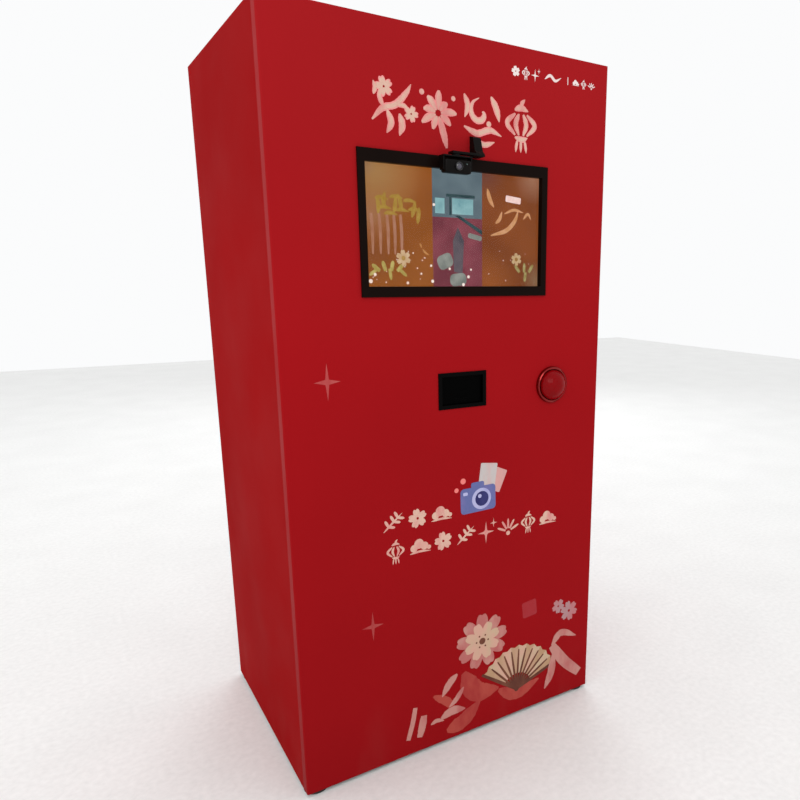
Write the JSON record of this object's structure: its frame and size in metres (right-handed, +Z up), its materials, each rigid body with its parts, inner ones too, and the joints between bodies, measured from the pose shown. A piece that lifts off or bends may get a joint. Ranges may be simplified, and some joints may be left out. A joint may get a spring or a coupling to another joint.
{
  "type": "photo booth kiosk",
  "caption": "Free-standing steel photo kiosk with a framed landscape display, a camera on a bracket, a domed start button, a delivery window and a lockable rear service door.",
  "frame": {"origin": "centre of the whole object's footprint, on the floor", "axes": "+Z up, the front panel with the display faces -Y, +X to the right when looking at the front"},
  "size_m": [0.9, 0.752, 1.82],
  "materials": {
    "frame_steel": "satin",
    "red_coat": "satin",
    "red_front": "satin",
    "zinc_sheet": "satin",
    "zinc_hardware": "satin",
    "foot_rubber": "matte",
    "black_plastic": "satin",
    "black_gloss": "gloss",
    "screen_glass": "gloss",
    "module_metal": "satin",
    "chrome_ring": "gloss",
    "red_dome": "gloss",
    "spring_wire": "satin",
    "printer_metal": "satin",
    "gear_nylon": "satin",
    "roller_rubber": "matte",
    "paper": "matte",
    "lead_jacket": "satin",
    "switch_plastic": "satin"
  },
  "bodies": {
    "cabinet": {"base_frame": "frame_steel", "levelling_feet": "foot_rubber", "foot_lock_nuts": "zinc_hardware", "uprights": "frame_steel", "top_rails": "frame_steel", "floor_pan": "zinc_sheet", "front_panel": "red_front", "left_side_panel": "red_coat", "right_side_panel": "red_coat", "top_panel": "red_coat", "rear_surround": "red_coat", "shelf_rails": "frame_steel", "printer_shelf": "zinc_sheet", "computer_shelf": "zinc_sheet", "display_bezel": "black_plastic", "display_glass": "screen_glass", "display_panel": "module_metal", "display_brackets": "zinc_hardware", "bracket_nuts": "zinc_hardware", "button_ring": "chrome_ring", "button_barrel": "black_plastic", "button_nut": "black_plastic", "button_switch": "switch_plastic", "button_spring": "spring_wire", "delivery_frame": "black_plastic", "delivery_chute": "black_plastic", "flap_pin": "zinc_hardware", "camera_bracket": "black_plastic", "printer_chassis": "printer_metal", "print_head": "printer_metal", "cutter_housing": "module_metal", "printer_motor": "printer_metal", "lid_pin": "zinc_hardware", "computer": "black_plastic", "power_supply": "printer_metal", "mains_inlet": "black_plastic", "internal_leads": "lead_jacket", "hinge_leaves": "zinc_hardware", "hinge_pins": "zinc_hardware"},
    "start_button": {"start_dome": "red_dome"},
    "delivery_flap": {"delivery_flap": "black_gloss"},
    "camera_yoke": {"camera_yoke": "black_plastic"},
    "camera": {"camera_body": "black_plastic", "camera_lens": "black_gloss"},
    "rear_door": {"rear_door": "red_coat", "door_knuckles": "zinc_hardware", "fan_frame": "black_plastic", "fan_guard": "zinc_hardware", "lock_barrel": "zinc_hardware"},
    "lock_handle": {"lock_handle": "black_plastic"},
    "fan_rotor": {"fan_rotor": "black_plastic"},
    "paper_roll": {"paper_roll": "paper", "roll_spindle": "module_metal"},
    "platen": {"platen_roller": "roller_rubber", "platen_gear": "gear_nylon"},
    "motor_pinion": {"motor_pinion": "gear_nylon"},
    "cutter_blade": {"cutter_blade": "zinc_hardware"},
    "printer_lid": {"printer_lid": "black_plastic"},
    "power_rocker": {"power_rocker": "black_gloss"}
  },
  "joints": [
    {"name": "start_button_press", "type": "slide", "parent": "cabinet", "child": "start_button", "axis": [0, 1, 0], "range_m": [0, 0.0045], "stiffness_N_per_m": 450, "springref_m": -0.003, "deforming": ["button_spring"]},
    {"name": "delivery_flap_hinge", "type": "hinge", "parent": "cabinet", "child": "delivery_flap", "pos_m": [0.004, -0.3218, 1.034], "axis": [1, 0, 0], "range_deg": [0, 75]},
    {"name": "camera_pan", "type": "hinge", "parent": "cabinet", "child": "camera_yoke", "pos_m": [-0.026, -0.358, 1.556], "axis": [0, 0, 1], "range_deg": [-15, 15]},
    {"name": "camera_tilt", "type": "hinge", "parent": "camera_yoke", "child": "camera", "pos_m": [-0.026, -0.358, 1.528], "axis": [1, 0, 0], "range_deg": [-15, 20]},
    {"name": "rear_door_hinge", "type": "hinge", "parent": "cabinet", "child": "rear_door", "pos_m": [-0.405, 0.3585, 0.92], "axis": [0, 0, 1], "range_deg": [0, 105]},
    {"name": "lock_handle_turn", "type": "hinge", "parent": "rear_door", "child": "lock_handle", "pos_m": [0.372, 0.352, 0.945], "axis": [0, -1, 0], "range_deg": [0, 90]},
    {"name": "fan_spin", "type": "hinge", "parent": "rear_door", "child": "fan_rotor", "pos_m": [0, 0.34, 1.6], "axis": [0, 1, 0], "continuous": true},
    {"name": "paper_roll_spin", "type": "hinge", "parent": "cabinet", "child": "paper_roll", "pos_m": [0.004, -0.113, 1.134], "axis": [1, 0, 0], "continuous": true},
    {"name": "platen_spin", "type": "hinge", "parent": "cabinet", "child": "platen", "pos_m": [0.004, -0.22, 1.13], "axis": [1, 0, 0], "continuous": true},
    {"name": "pinion_spin", "type": "hinge", "parent": "cabinet", "child": "motor_pinion", "pos_m": [0.004, -0.20285, 1.11285], "axis": [1, 0, 0], "continuous": true},
    {"name": "cutter_stroke", "type": "slide", "parent": "cabinet", "child": "cutter_blade", "axis": [0, 0, 1], "range_m": [0, 0.008]},
    {"name": "printer_lid_hinge", "type": "hinge", "parent": "cabinet", "child": "printer_lid", "pos_m": [0.004, -0.044, 1.19], "axis": [-1, 0, 0], "range_deg": [0, 100]},
    {"name": "power_rocker_tilt", "type": "hinge", "parent": "cabinet", "child": "power_rocker", "pos_m": [-0.31525, 0.348, 0.106], "axis": [-1, 0, 0], "range_deg": [0, 16]}
  ],
  "couplings": [
    {"joint": "pinion_spin", "follows": "platen_spin", "ratio": -2}
  ]
}
